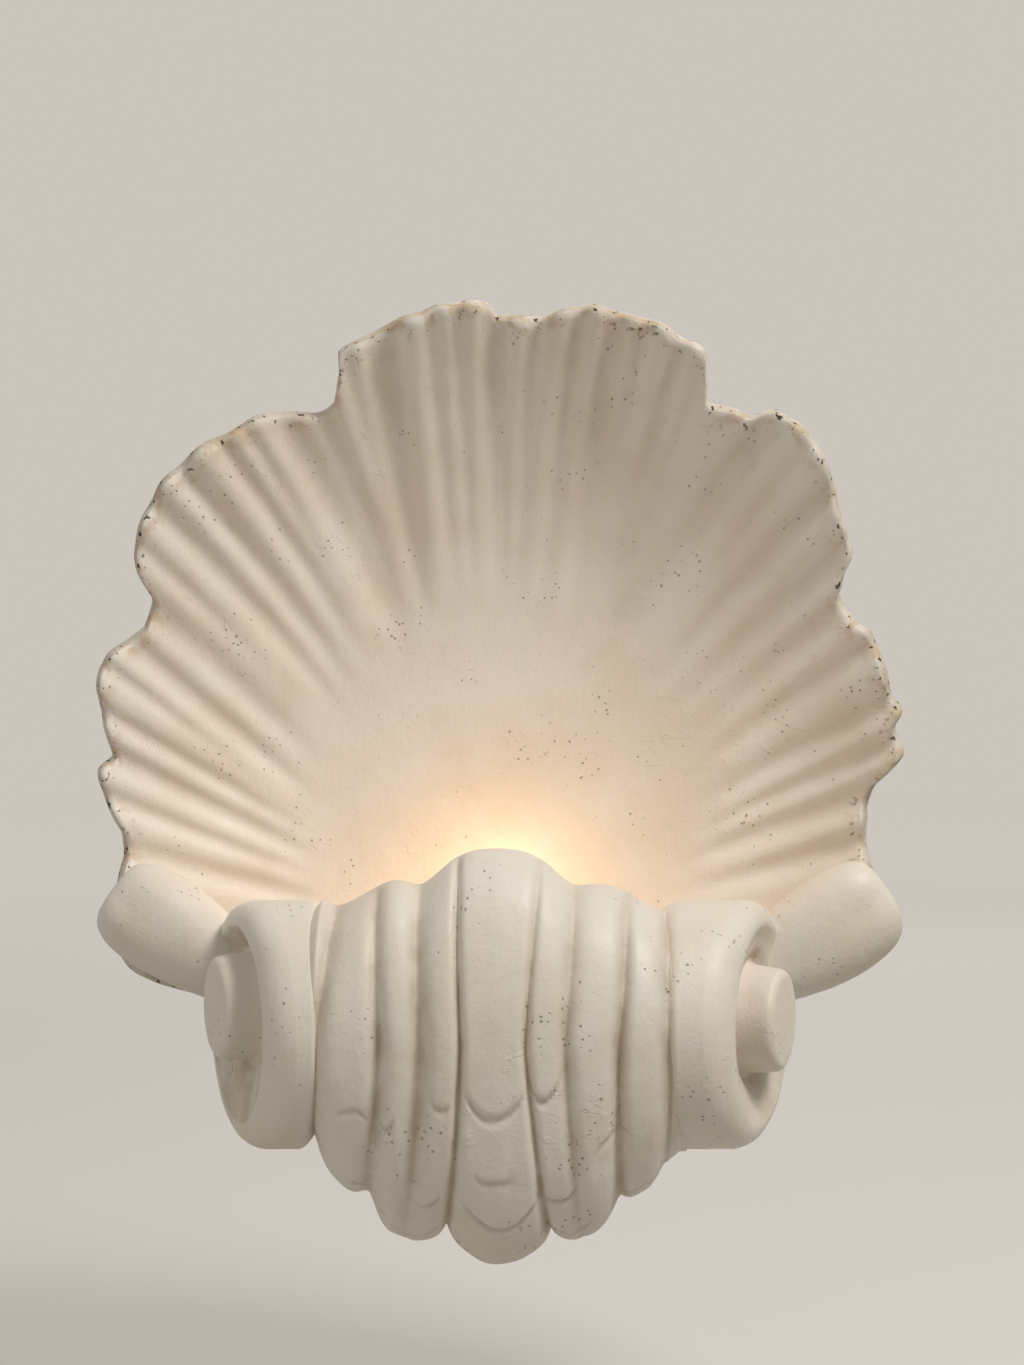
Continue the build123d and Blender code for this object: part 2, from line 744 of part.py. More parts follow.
with BuildPart() as bulb_cap:
    with BuildSketch(Plane.XY.offset(cap_top_z)):
        with Locations((0, lamp_y)):
            Circle(collar_radius)
    extrude(amount=collar_height)
    fillet(bulb_cap.edges().group_by(Axis.Z)[0], 1.5)
    with BuildSketch(Plane.XY.offset(cap_bottom_z)):
        with Locations((0, lamp_y)):
            Circle(cap_radius)
    extrude(amount=cap_height)
finish(bulb_cap, "bulb_cap")

with BuildPart() as bulb_insulator:
    with BuildSketch(Plane.XY.offset(cap_bottom_z)):
        with Locations((0, lamp_y)):
            Circle(cap_radius - 0.5)
    with BuildSketch(Plane.XY.offset(cap_bottom_z - insulator_height)):
        with Locations((0, lamp_y)):
            Circle(tip_radius + 0.6)
    loft()
finish(bulb_insulator, "bulb_insulator")

with BuildPart() as bulb_tip:
    with BuildSketch(Plane.XY.offset(cap_bottom_z - insulator_height)):
        with Locations((0, lamp_y)):
            Circle(tip_radius)
    extrude(amount=-tip_height)
    fillet(bulb_tip.edges().group_by(Axis.Z)[0], tip_height * 0.6)
finish(bulb_tip, "bulb_tip")

with BuildPart() as bulb_stem:
    with BuildSketch(Plane.XY.offset(glass_bottom_z)):
        with Locations((0, lamp_y)):
            Circle(neck_radius - glass_wall - 0.3)
    with BuildSketch(Plane.XY.offset(glass_bottom_z + 8.0)):
        with Locations((0, lamp_y)):
            Circle(2.6)
    loft()
    with BuildSketch(Plane.XY.offset(glass_bottom_z + 8.0)):
        with Locations((0, lamp_y)):
            Circle(2.0)
    extrude(amount=stem_height - 8.0)
finish(bulb_stem, "bulb_stem")

stem_top_z = glass_bottom_z + stem_height
filament_z = stem_top_z + filament_rise
# two support wires spread from the stem and carry a bowed filament
with BuildLine() as filament_path:
    FilletPolyline(
        (-1.2, lamp_y, stem_top_z + seat_gap),
        (-filament_span / 2, lamp_y, filament_z),
        (0, lamp_y - filament_bow, filament_z + 1.0),
        (filament_span / 2, lamp_y, filament_z),
        (1.2, lamp_y, stem_top_z + seat_gap),
        radius=1.2,
    )
with BuildPart() as bulb_filament:
    filament_wire = filament_path.wires()[0]
    with BuildSketch(Plane(filament_wire @ 0, z_dir=filament_wire % 0)):
        Circle(filament_radius)
    sweep(path=filament_wire)
finish(bulb_filament, "bulb_filament")


# ----------------------------------------------------------------------------- leads
def bend_radii(points, least):
    """Largest even bends: 0.45 of the shorter run over the tangent of half the turn."""
    vectors = [Vector(*p) for p in points]
    radii = []
    for a, b, c in zip(vectors, vectors[1:], vectors[2:]):
        half_turn = radians((b - a).get_angle(c - b)) / 2
        radii.append(0.45 * min((b - a).length, (c - b).length) / tan(half_turn))
    print("bend radii", [round(r, 1) for r in radii], "least allowed", least)
    return radii


def lead(points, radius):
    """A lead of straight runs joined by tangent arcs."""
    with BuildLine() as route:
        FilletPolyline(*points, radius=bend_radii(points, 3 * 2 * radius))
    path = route.wires()[0]
    with BuildPart() as piece:
        with BuildSketch(Plane(path @ 0, z_dir=path % 0)):
            Circle(radius)
        sweep(path=path)
    share = piece.part.volume / (pi * radius**2 * path.length)
    print("length", round(path.length, 1), "volume over section times length", round(share, 4))
    return piece


block_low_z = block_z - block_height / 2
lamp_lead_points = [
    (-30.6, -9.0, block_low_z),
    (-30.6, -9.0, -60.0),
    (-30.6, -46.0, -60.0),
    (-33.0, -44.0, -97.0),
    (-29.0, -50.0, -134.0),
    (-27.0, -58.0, -170.5),
    (0.0, lamp_y, -170.5),
    (0.0, lamp_y, nipple_bottom_z),
]
lamp_lead = lead(lamp_lead_points, lead_radius)
finish(lamp_lead, "lamp_lead")

earth_lead_points = [
    (-25.7, -9.0, block_low_z),
    (-25.7, -9.0, -60.0),
    (-25.7, -42.0, -60.0),
    (-13.5, -39.0, -76.5),
    (earth_place[0], earth_lug_y, -90.0),
    (earth_place[0], earth_lug_y, earth_place[1] + earth_lug_length),
]
earth_lead = lead(earth_lead_points, earth_radius)
finish(earth_lead, "earth_lead")

with BuildPart() as earth_lug:
    with BuildSketch(upright_plane(bracket_front_y)):
        with Locations(earth_place):
            Circle(screw_head_radius)
        with Locations((earth_place[0], earth_place[1] + earth_lug_length / 2)):
            Rectangle(2 * earth_radius + 1.4, earth_lug_length)
        with Locations(earth_place):
            Circle(screw_radius + fit_gap, mode=Mode.SUBTRACT)
    extrude(amount=washer_thickness)
finish(earth_lug, "earth_lug")

earth_screw = screws([earth_place], bracket_front_y - washer_thickness, -1, washer_thickness + bracket_thickness)
finish(earth_screw, "earth_screw")
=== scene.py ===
from math import cos, pi, radians, sin, tan

import bpy
import numpy as np
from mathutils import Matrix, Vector, noise


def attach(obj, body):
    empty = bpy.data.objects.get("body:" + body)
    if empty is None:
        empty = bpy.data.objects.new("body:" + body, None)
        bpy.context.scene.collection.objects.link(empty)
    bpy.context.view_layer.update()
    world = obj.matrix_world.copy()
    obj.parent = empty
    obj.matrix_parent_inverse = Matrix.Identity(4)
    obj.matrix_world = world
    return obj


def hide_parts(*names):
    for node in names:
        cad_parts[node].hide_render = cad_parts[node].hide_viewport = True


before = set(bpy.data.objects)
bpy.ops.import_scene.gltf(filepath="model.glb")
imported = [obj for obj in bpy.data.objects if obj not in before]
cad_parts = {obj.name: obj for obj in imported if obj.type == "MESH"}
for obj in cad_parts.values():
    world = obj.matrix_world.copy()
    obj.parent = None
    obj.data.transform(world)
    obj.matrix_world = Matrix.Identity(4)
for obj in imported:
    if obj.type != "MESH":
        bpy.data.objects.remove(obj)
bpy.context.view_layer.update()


# ------------------------------------------------------------------ camera and room
# The sconce hangs on a wall. It is seen from about 1.1 m, level with the middle of
# the fan, in a plain pale room with soft lamps. Nothing here is part of the sconce.
camera_data = bpy.data.cameras.new("camera")
camera_data.sensor_fit = "VERTICAL"
camera_data.sensor_height = 36.0
camera_data.lens = 54.07
camera = bpy.data.objects.new("camera", camera_data)
camera.location = (0.006, -1.105, 0.050)
camera.rotation_euler = (pi / 2, 0, 0)
bpy.context.scene.collection.objects.link(camera)
bpy.context.scene.camera = camera
bpy.context.scene.view_settings.view_transform = "Standard"


def new_material(name):
    """An empty node material, with its shader and output joined."""
    material = bpy.data.materials.new(name)
    material.use_nodes = True
    tree = material.node_tree
    tree.nodes.clear()
    output = tree.nodes.new("ShaderNodeOutputMaterial")
    shader = tree.nodes.new("ShaderNodeBsdfPrincipled")
    tree.links.new(shader.outputs[0], output.inputs["Surface"])
    return material, tree, shader


def object_place(tree, stretch=(1, 1, 1)):
    """Object coordinates, stretched along an axis."""
    place = tree.nodes.new("ShaderNodeTexCoord")
    mapping = tree.nodes.new("ShaderNodeMapping")
    mapping.inputs["Scale"].default_value = stretch
    tree.links.new(place.outputs["Object"], mapping.inputs["Vector"])
    return mapping.outputs[0]


def remap(tree, value, low, high, new_low=0.0, new_high=1.0):
    """A value between low and high, brought smoothly to a new range."""
    node = tree.nodes.new("ShaderNodeMapRange")
    node.interpolation_type = "SMOOTHSTEP"
    limits = (("From Min", low), ("From Max", high), ("To Min", new_low), ("To Max", new_high))
    for name, number in limits:
        node.inputs[name].default_value = number
    tree.links.new(value, node.inputs["Value"])
    return node.outputs[0]


def combine(tree, a, b, operation="MULTIPLY"):
    """Two values, or a value and a number, put together by a maths node."""
    node = tree.nodes.new("ShaderNodeMath")
    node.operation = operation
    for socket, value in zip(node.inputs, (a, b)):
        if isinstance(value, (int, float)):
            socket.default_value = value
        else:
            tree.links.new(value, socket)
    return node.outputs[0]


def room_rays(tree):
    """1 for the rays that see the room itself: camera, glossy and transmitted."""
    path = tree.nodes.new("ShaderNodeLightPath")
    seen = combine(tree, path.outputs["Is Camera Ray"], path.outputs["Is Glossy Ray"], "MAXIMUM")
    return combine(tree, seen, path.outputs["Is Transmission Ray"], "MAXIMUM")


# the floor glows a little, and more with distance, so it runs into the room unseen
room_colour = (0.60, 0.56, 0.51, 1)
floor_level = -0.34
floor_half = 6
floor_material, tree, shader = new_material("pale_floor")
shader.inputs["Base Color"].default_value = (0.42, 0.40, 0.37, 1)
shader.inputs["Roughness"].default_value = 0.9
shader.inputs["Emission Color"].default_value = room_colour
away = tree.nodes.new("ShaderNodeVectorMath")
away.operation = "LENGTH"
tree.links.new(object_place(tree), away.inputs[0])
far_off = remap(tree, away.outputs["Value"], 1.0, 3.4, 0.5, 0.745)
tree.links.new(combine(tree, room_rays(tree), far_off), shader.inputs["Emission Strength"])
corners = [(x * floor_half, y * floor_half, floor_level)
           for x, y in ((-1, -1), (1, -1), (1, 1), (-1, 1))]
floor_mesh = bpy.data.meshes.new("floor")
floor_mesh.from_pydata(corners, [], [(0, 1, 2, 3)])
floor_mesh.materials.append(floor_material)
floor = bpy.data.objects.new("floor", floor_mesh)
bpy.context.scene.collection.objects.link(floor)

# the world lights the sconce faintly, and shows the room's own tone where it is seen
world = bpy.data.worlds.new("room")
world.use_nodes = True
bpy.context.scene.world = world
tree = world.node_tree
tree.nodes.clear()
output = tree.nodes.new("ShaderNodeOutputWorld")
shown = tree.nodes.new("ShaderNodeBackground")
shown.inputs[0].default_value = room_colour
lit = tree.nodes.new("ShaderNodeBackground")
lit.inputs[0].default_value = (1.0, 0.97, 0.93, 1)
lit.inputs[1].default_value = 0.26
switch = tree.nodes.new("ShaderNodeMixShader")
tree.links.new(room_rays(tree), switch.inputs[0])
tree.links.new(lit.outputs[0], switch.inputs[1])
tree.links.new(shown.outputs[0], switch.inputs[2])
tree.links.new(switch.outputs[0], output.inputs[0])

for name, place, size, power in (
    ("key_lamp", (0.95, -0.85, 1.45), 0.55, 25.0),
    ("fill_lamp", (-1.5, -1.3, 0.4), 1.6, 6.0),
    ("back_lamp", (0.4, 1.8, 1.2), 1.6, 9.0),
):
    lamp_data = bpy.data.lights.new(name, "AREA")
    lamp_data.size = size
    lamp_data.energy = power
    lamp_data.color = (1.0, 0.96, 0.91)
    lamp = bpy.data.objects.new(name, lamp_data)
    lamp.location = place
    lamp.rotation_euler = (-Vector(place)).to_track_quat("-Z", "Y").to_euler()
    lamp.visible_camera = False
    bpy.context.scene.collection.objects.link(lamp)


# ------------------------------------------------------------------- fan casting
# The fluted fan: gypsum plaster poured in a rubber mould, sealed with off-white
# paint. Its broken rim is left as cast, and a ring behind stands on the wall.

# Shapes are in mm. A turn is the angle from straight up, round the fan's hub, and a
# share is 0 where the bowl leaves its flat floor and 1 at the rim's mean radius.
hub_z = -75.0
floor_front = 28
floor_back = 18
back_growth = 3.0
bowl_curve = 1.95


def floor_radius(turn):
    """Radius of the flat floor's edge."""
    return 91 + 22 * np.cos(turn) + 22 * np.cos(2 * turn)


def rim_radius(turn):
    """Mean radius of the rim, without its lobes."""
    return 203 + 86 * np.cos(turn) + 18 * np.cos(2 * turn) + 4 * np.cos(3 * turn)


def rim_rise(turn):
    """How far the rim stands in front of the floor."""
    return 60 * (0.78 + 0.18 * np.cos(turn) + 0.04 * np.cos(2 * turn))


def bowl_rise(turn, radius, growth=0.0):
    """How far the bowl has risen from its floor at a radius from the hub."""
    start = floor_radius(turn) + growth
    share = np.clip((radius - start) / (rim_radius(turn) + growth - start), 0, None)
    return rim_rise(turn) * share**bowl_curve


# rim seen from the front, lobe by lobe, from the left ear round the top
rim_lobes = [
    [(-130, -124), (-150, -110), (-172, -101), (-186, -90), (-192, -70), (-188, -39)],
    [(-189, -27), (-197, -10), (-200, 4), (-194, 11)],
    [(-198, 30), (-200, 48), (-195, 62), (-178, 76)],
    [(-174, 90), (-181, 104), (-180, 121), (-172, 140), (-165, 150), (-146, 167), (-134, 173),
     (-122, 181), (-108, 184), (-92, 184), (-83, 189)],
    [(-80, 204), (-80, 213), (-71, 218), (-52, 228), (-40, 231), (-31, 235), (-10, 237),
     (-5, 236)],
    [(-3, 231), (10, 230), (24, 230)],
    [(30, 233), (45, 235), (65, 230), (78, 226), (88, 220), (98, 215), (102, 212)],
    [(103, 196), (104, 188), (118, 184), (124, 181), (135, 184), (141, 181), (152, 171),
     (158, 163), (166, 146), (168, 135), (174, 120), (176, 112), (172, 103)],
    [(170, 92), (178, 79), (186, 72), (191, 58), (195, 44), (200, 34), (197, 26), (201, 14),
     (196, 5), (188, -4)],
    [(184, -15), (184, -38), (189, -58), (189, -74), (182, -91), (150, -110), (130, -124)],
    [(112, -150), (70, -182), (0, -198), (-70, -182), (-112, -150)],
]


def curve_through(lobe):
    """A smooth curve through a lobe's points, with 24 steps for each of them."""
    points = np.array(lobe, float)
    steps = np.linspace(0, len(points) - 1, 24 * len(points))
    index = np.clip(steps.astype(int), 0, len(points) - 2)
    part = (steps - index)[:, None]
    before = points[np.clip(index - 1, 0, None)]
    after = points[np.clip(index + 2, None, len(points) - 1)]
    a, b = points[index], points[index + 1]
    return 0.5 * (2 * a + (b - before) * part + (2 * before - 5 * a + 4 * b - after) * part**2
                  + (3 * a - before - 3 * b + after) * part**3)


outline = np.concatenate([curve_through(lobe) for lobe in rim_lobes])
outline_turn = np.arctan2(outline[:, 0], outline[:, 1] - hub_z)
outline_reach = np.hypot(outline[:, 0], outline[:, 1] - hub_z)
order = np.argsort(outline_turn)
outline_turn, outline_reach = outline_turn[order], outline_reach[order]


def edge_radius(turn):
    """How far the rim's outline stands from the hub."""
    return np.interp(turn, outline_turn, outline_reach, period=2 * pi)


# valleys of the flutes: degrees at the rim, degrees near the floor, depth, half width
flute_valleys = [
    (-15.0, -15.5, 1.6, 1.1), (-12.6, -14.0, 1.6, 1.0), (-10.8, -15.0, 4.2, 1.5),
    (-6.4, -8.5, 1.6, 0.9), (-4.0, -5.0, 1.4, 0.8), (-0.6, -0.5, 3.0, 1.2),
    (3.4, 2.5, 1.6, 0.9), (7.4, 7.0, 2.4, 1.0), (10.6, 13.0, 3.4, 1.3),
    (13.4, 15.5, 1.8, 1.0), (17.0, 18.0, 2.4, 1.1), (19.6, 20.0, 1.4, 0.8),
    (28.0, 23.0, 4.6, 1.6), (32.6, 29.0, 1.8, 1.0), (36.8, 33.0, 3.6, 1.3),
    (42.5, 39.0, 3.2, 1.5), (46.8, 46.0, 3.0, 1.6), (52.5, 52.0, 2.8, 1.4),
    (59.5, 60.0, 3.0, 1.5), (64.5, 66.0, 2.6, 1.3), (69.5, 73.0, 3.4, 1.8),
    (76.0, 82.0, 3.0, 2.0), (-19.5, -16.5, 2.8, 1.3), (-23.4, -18.2, 5.2, 1.7),
    (-27.0, -24.5, 2.0, 0.9), (-29.8, -27.0, 3.0, 1.1), (-34.5, -32.0, 3.8, 1.3),
    (-38.8, -36.5, 3.6, 1.4), (-43.0, -42.0, 1.8, 1.0), (-47.2, -49.0, 3.4, 1.8),
    (-51.8, -57.0, 4.2, 1.6), (-56.0, -61.0, 2.2, 1.1), (-61.0, -66.0, 2.6, 1.2),
    (-65.5, -72.0, 3.8, 1.6), (-71.0, -78.0, 2.6, 1.4), (-77.5, -85.0, 3.4, 2.0),
]


def flute_relief(turn, share):
    """How deep the flutes are cut: not at all at the floor, fully on the upper bowl."""
    degrees = np.degrees(turn)
    on_bowl = np.clip(share, 0, 1)
    grown = on_bowl ** 0.8 * np.clip((share - 0.03) / 0.25, 0, 1)
    side_gain = np.where(degrees > 0, 2.2, 1.7)
    relief = np.zeros_like(share)
    for rim_angle, floor_angle, depth, width in flute_valleys:
        middle = floor_angle + (rim_angle - floor_angle) * on_bowl ** 0.9
        spread = width * (1.7 - 0.7 * on_bowl)
        # deep valleys and those at the top run almost to the floor, small ones nick the rim
        at_top = abs(rim_angle) < 21
        starts = 0.0 if depth > 3.1 else 0.12 if depth > 2.5 or at_top else 0.42
        top_gain = 1.3 if at_top else 1.0
        strength = side_gain * top_gain * np.clip((share - starts) / 0.40, 0, 1)
        relief += strength * depth * np.exp(-((degrees - middle) / spread) ** 2)
    # two broad shaded hollows, left and right of the middle
    hollow_depth = 7.0
    for middle in (-18.8, 20.5):
        band = np.exp(-((degrees - middle) / 4.2) ** 2)
        relief += hollow_depth * band * np.exp(-((share - 0.33) / 0.24) ** 2)
    # shallow waves right round the bowl, growing towards the rim
    relief += 0.9 * np.cos(np.radians(degrees * 16.0)) * on_bowl ** 1.5
    deepest = 8.5
    return deepest * np.tanh(relief * np.clip(grown, 0, 1) / deepest)


turns = 760
front_rows = 74
back_rows = 22
start_radius = 2.0
turn = (np.arange(turns) / turns * 2 * pi - pi)[:, None]
edge = edge_radius(turn)
front_span = np.linspace(0, 1, front_rows)[None, :] ** 0.9
front_radius = start_radius + (edge - start_radius) * front_span
share = (front_radius - floor_radius(turn)) / (rim_radius(turn) - floor_radius(turn))
share = np.clip(share, 0, None)
relief = flute_relief(turn, share)
front_y = -(floor_front + bowl_rise(turn, front_radius) - relief)
# the rim rolls over: outwards by 4.2 while it goes back by 7
rim_steps = [(0.8, 0.5), (2.2, 2.0), (3.6, 4.6), (4.2, 7.0)]
rim_radii = [edge + out for out, back in rim_steps]
rim_y = [front_y[:, -1:] + back for out, back in rim_steps]
back_span = np.linspace(1, 0, back_rows)[None, :]
back_radius = start_radius + (edge - 2.0 - start_radius) * back_span
back_y = -(floor_back + bowl_rise(turn, back_radius, back_growth))
radius = np.concatenate([front_radius, *rim_radii, back_radius], axis=1)
y = np.concatenate([front_y, *rim_y, back_y], axis=1)
rows = radius.shape[1]
fan_points = np.stack([radius * np.sin(turn), y, hub_z + radius * np.cos(turn)], axis=2)
fan_faces = []
for column in range(turns):
    other = (column + 1) % turns
    for row in range(rows - 1):
        fan_faces.append((column * rows + row, other * rows + row,
                          other * rows + row + 1, column * rows + row + 1))
fan_faces.append(tuple(column * rows for column in reversed(range(turns))))
fan_faces.append(tuple(column * rows + rows - 1 for column in range(turns)))

# how worn the rim is; and how far the flute valleys, the rolled rim band and the two hollows are
# darkened: grime with painted shade in the valleys and on the rim band, painted shade alone in the
# hollows
at_rim = np.zeros((turns, rows))
fan_grime_and_shade = np.zeros((turns, rows))
rolled = slice(front_rows, front_rows + len(rim_steps))
worn_band = 9
at_rim[:, :front_rows] = np.clip((front_radius - edge + worn_band) / worn_band, 0, 1)
at_rim[:, rolled] = 1.0
# deep flute valleys towards the rim are darkened: grime with painted shade in the creases
fan_grime_and_shade[:, :front_rows] = (np.clip((relief - 2.6) / 6.0, 0, 0.45)
                             * np.clip((share - 0.5) / 0.4, 0, 1))
# the rolled rim band is darkened: grime with painted shade on the turned-back edge
fan_grime_and_shade[:, rolled] = 0.9
# painted shade: the two broad hollows beside the middle are darkened as if in shadow
for middle, dark in ((-18.0, 0.30), (20.5, 0.42)):
    off_middle = (np.degrees(turn) - middle) / 4.6
    fan_grime_and_shade[:, :front_rows] += dark * np.exp(-off_middle ** 2 - ((share - 0.38) / 0.24) ** 2)


def mesh_piece(name, points, faces, smooth=True):
    """A mesh object from points in mm."""
    mesh = bpy.data.meshes.new(name)
    mesh.from_pydata([tuple(p) for p in np.asarray(points) / 1000.0], [], faces)
    mesh.validate()
    mesh.polygons.foreach_set("use_smooth", [smooth] * len(mesh.polygons))
    piece = bpy.data.objects.new(name, mesh)
    bpy.context.scene.collection.objects.link(piece)
    return piece


def mark(piece, rim=0.0, grime_and_shade=0.0):
    """Rim wear, and grime with painted shade, at each point of a piece, for its material to read."""
    for name, values in (("rim", rim), ("grime_and_shade", grime_and_shade)):
        attribute = piece.data.attributes.new(name, "FLOAT", "POINT")
        everywhere = np.zeros(len(piece.data.vertices), np.float32)
        attribute.data.foreach_set("value", everywhere + np.asarray(values, np.float32).ravel())


def select_only(pieces):
    """These pieces selected and no others, the first of them active."""
    for other in bpy.context.selected_objects:
        other.select_set(False)
    for piece in pieces:
        piece.select_set(True)
    bpy.context.view_layer.objects.active = pieces[0]


def join(name, pieces):
    """Several meshes made one piece, its doubles merged and its faces turned outwards."""
    select_only(pieces)
    bpy.ops.object.join()
    joined = pieces[0]
    joined.name = name
    select_only([joined])
    bpy.ops.object.mode_set(mode="EDIT")
    bpy.ops.mesh.select_all(action="SELECT")
    bpy.ops.mesh.remove_doubles(threshold=0.00002)
    bpy.ops.mesh.normals_make_consistent(inside=False)
    bpy.ops.object.mode_set(mode="OBJECT")
    return joined


def tube_faces(rings, around, closed=False):
    """Quads that join each ring of points to the next, and the last to the first if closed."""
    return [(i * around + j, i * around + (j + 1) % around,
             (i + 1) % rings * around + (j + 1) % around, (i + 1) % rings * around + j)
            for i in range(rings if closed else rings - 1) for j in range(around)]


def squared_off(value, power):
    """A sine or cosine to a power below 1, its sign kept: a circle becomes squarer."""
    return abs(value) ** power * (1 if value >= 0 else -1)


fan_body = mesh_piece("fan", fan_points.reshape(-1, 3), fan_faces)
mark(fan_body, at_rim, fan_grime_and_shade)

# ears: soft pillows rolled over the lower corners, fuller at their outer ends
ears = []
ear_rings = 49
ear_around = 64
ear_x, ear_y, ear_z = 157.5, -76.0, -76.5
ear_half_length = 43.0
ear_radius = 20.0
fuller_below, fuller_above = 15.0, 6.0
ear_slope = radians(36)
forwards = np.array([0, -1, 0])
for side in (-1, 1):
    along = np.array([-side * cos(ear_slope), 0, -sin(ear_slope)])
    up = np.array([-side * sin(ear_slope), 0, cos(ear_slope)])
    ear_points = []
    for i in range(ear_rings):
        tip = pi * i / (ear_rings - 1)
        centre = np.array([side * ear_x, ear_y, ear_z]) - along * ear_half_length * cos(tip)
        outer_share = 0.5 + 0.5 * cos(tip)
        for j in range(ear_around):
            spin = 2 * pi * j / ear_around
            fuller = (fuller_below * max(0.0, -cos(spin)) ** 2
                      + fuller_above * max(0.0, cos(spin)) ** 2)
            reach = (ear_radius + fuller * outer_share) * sin(tip) ** 0.52
            reach *= 1 + 0.05 * sin(2 * spin + side) * sin(tip)
            ear_points.append(centre + reach * (cos(spin) * up + sin(spin) * forwards))
    ear = mesh_piece("ear", ear_points, tube_faces(ear_rings, ear_around))
    mark(ear)
    ears.append(ear)

# ring: a rounded rectangle on the wall, 136 x 124 inside, 12 wide
ring_steps = 128
ring_middle_z = -10
ring_squareness = 0.24
ring_profile = ((80, 74, -24), (80, 74, -1.5), (78.5, 72.5, 0),
                (69.5, 63.5, 0), (68, 62, -1.5), (68, 62, -24))
ring_points = []
for i in range(ring_steps):
    across = squared_off(cos(2 * pi * i / ring_steps), ring_squareness)
    upwards = squared_off(sin(2 * pi * i / ring_steps), ring_squareness)
    for half_width, half_height, ring_y in ring_profile:
        ring_points.append((half_width * across, ring_y, ring_middle_z + half_height * upwards))
ring = mesh_piece("ring", ring_points, tube_faces(ring_steps, len(ring_profile), closed=True),
                  smooth=False)
mark(ring)

fan = join("fan_plaster", [fan_body, *ears, ring])


def casting_swell(piece, swell, size, seed, material):
    """A hand-finished casting's slight swell, laid on by a Geometry Nodes tree."""
    tree = bpy.data.node_groups.new("casting_swell", "GeometryNodeTree")
    geometry = "NodeSocketGeometry"
    tree.interface.new_socket("Geometry", in_out="INPUT", socket_type=geometry)
    tree.interface.new_socket("Geometry", in_out="OUTPUT", socket_type=geometry)
    settings = {"Swell": swell, "Size": size, "Seed": seed}
    sockets = {}
    for name, value in settings.items():
        sockets[name] = tree.interface.new_socket(name, in_out="INPUT",
                                                  socket_type="NodeSocketFloat")
        sockets[name].default_value = value
    inlet = tree.nodes.new("NodeGroupInput")
    outlet = tree.nodes.new("NodeGroupOutput")
    bumps = tree.nodes.new("ShaderNodeTexNoise")
    bumps.noise_dimensions = "4D"
    bumps.inputs["Detail"].default_value = 3.0
    centred = combine(tree, bumps.outputs[0], 0.5, "SUBTRACT")
    scaled = combine(tree, centred, inlet.outputs["Swell"])
    normal = tree.nodes.new("GeometryNodeInputNormal")
    push = tree.nodes.new("ShaderNodeVectorMath")
    push.operation = "SCALE"
    moved = tree.nodes.new("GeometryNodeSetPosition")
    realized = tree.nodes.new("GeometryNodeRealizeInstances")
    painted = tree.nodes.new("GeometryNodeSetMaterial")
    painted.inputs["Material"].default_value = material
    links = tree.links
    links.new(inlet.outputs["Size"], bumps.inputs["Scale"])
    links.new(inlet.outputs["Seed"], bumps.inputs["W"])
    links.new(normal.outputs[0], push.inputs[0])
    links.new(scaled, push.inputs["Scale"])
    links.new(inlet.outputs["Geometry"], moved.inputs["Geometry"])
    links.new(push.outputs[0], moved.inputs["Offset"])
    links.new(moved.outputs[0], realized.inputs[0])
    links.new(realized.outputs[0], painted.inputs["Geometry"])
    links.new(painted.outputs[0], outlet.inputs[0])
    modifier = piece.modifiers.new("casting_swell", "NODES")
    modifier.node_group = tree
    for name, value in settings.items():
        modifier[sockets[name].identifier] = value
    evaluated = piece.evaluated_get(bpy.context.evaluated_depsgraph_get())
    swollen = bpy.data.meshes.new_from_object(evaluated)
    piece.modifiers.remove(modifier)
    piece.data = swollen


def noise_at(tree, place, scale, detail=4.0, roughness=0.55):
    """Cloudy noise, from 0 to 1."""
    node = tree.nodes.new("ShaderNodeTexNoise")
    node.inputs["Scale"].default_value = scale
    node.inputs["Detail"].default_value = detail
    node.inputs["Roughness"].default_value = roughness
    tree.links.new(place, node.inputs["Vector"])
    return node.outputs["Fac"]


def cells_at(tree, place, scale, feature="F1"):
    """Distance from the points of irregular cells, or from the cells' edges."""
    node = tree.nodes.new("ShaderNodeTexVoronoi")
    node.feature = feature
    node.inputs["Scale"].default_value = scale
    tree.links.new(place, node.inputs["Vector"])
    return node.outputs["Distance"]


def marked(tree, name):
    """The rim wear, or the grime and painted shade, that mark gave a piece."""
    node = tree.nodes.new("ShaderNodeAttribute")
    node.attribute_name = name
    return node.outputs["Fac"]


def tint(tree, under, colour, amount):
    """The colour under, or a second colour laid over it by an amount."""
    node = tree.nodes.new("ShaderNodeMix")
    node.data_type = "RGBA"
    tree.links.new(amount, node.inputs["Factor"])
    for socket, value in ((node.inputs[6], under), (node.inputs[7], colour)):
        if isinstance(value, tuple):
            socket.default_value = (*value, 1.0)
        else:
            tree.links.new(value, socket)
    return node.outputs[2]


def bumped(tree, shader, layers):
    """Bumps laid one over the other: (height socket, strength, distance in metres)."""
    normal = None
    for height, strength, distance in layers:
        bump = tree.nodes.new("ShaderNodeBump")
        bump.inputs["Strength"].default_value = strength
        bump.inputs["Distance"].default_value = distance
        tree.links.new(height, bump.inputs["Height"])
        if normal is not None:
            tree.links.new(normal, bump.inputs["Normal"])
        normal = bump.outputs[0]
    tree.links.new(normal, shader.inputs["Normal"])


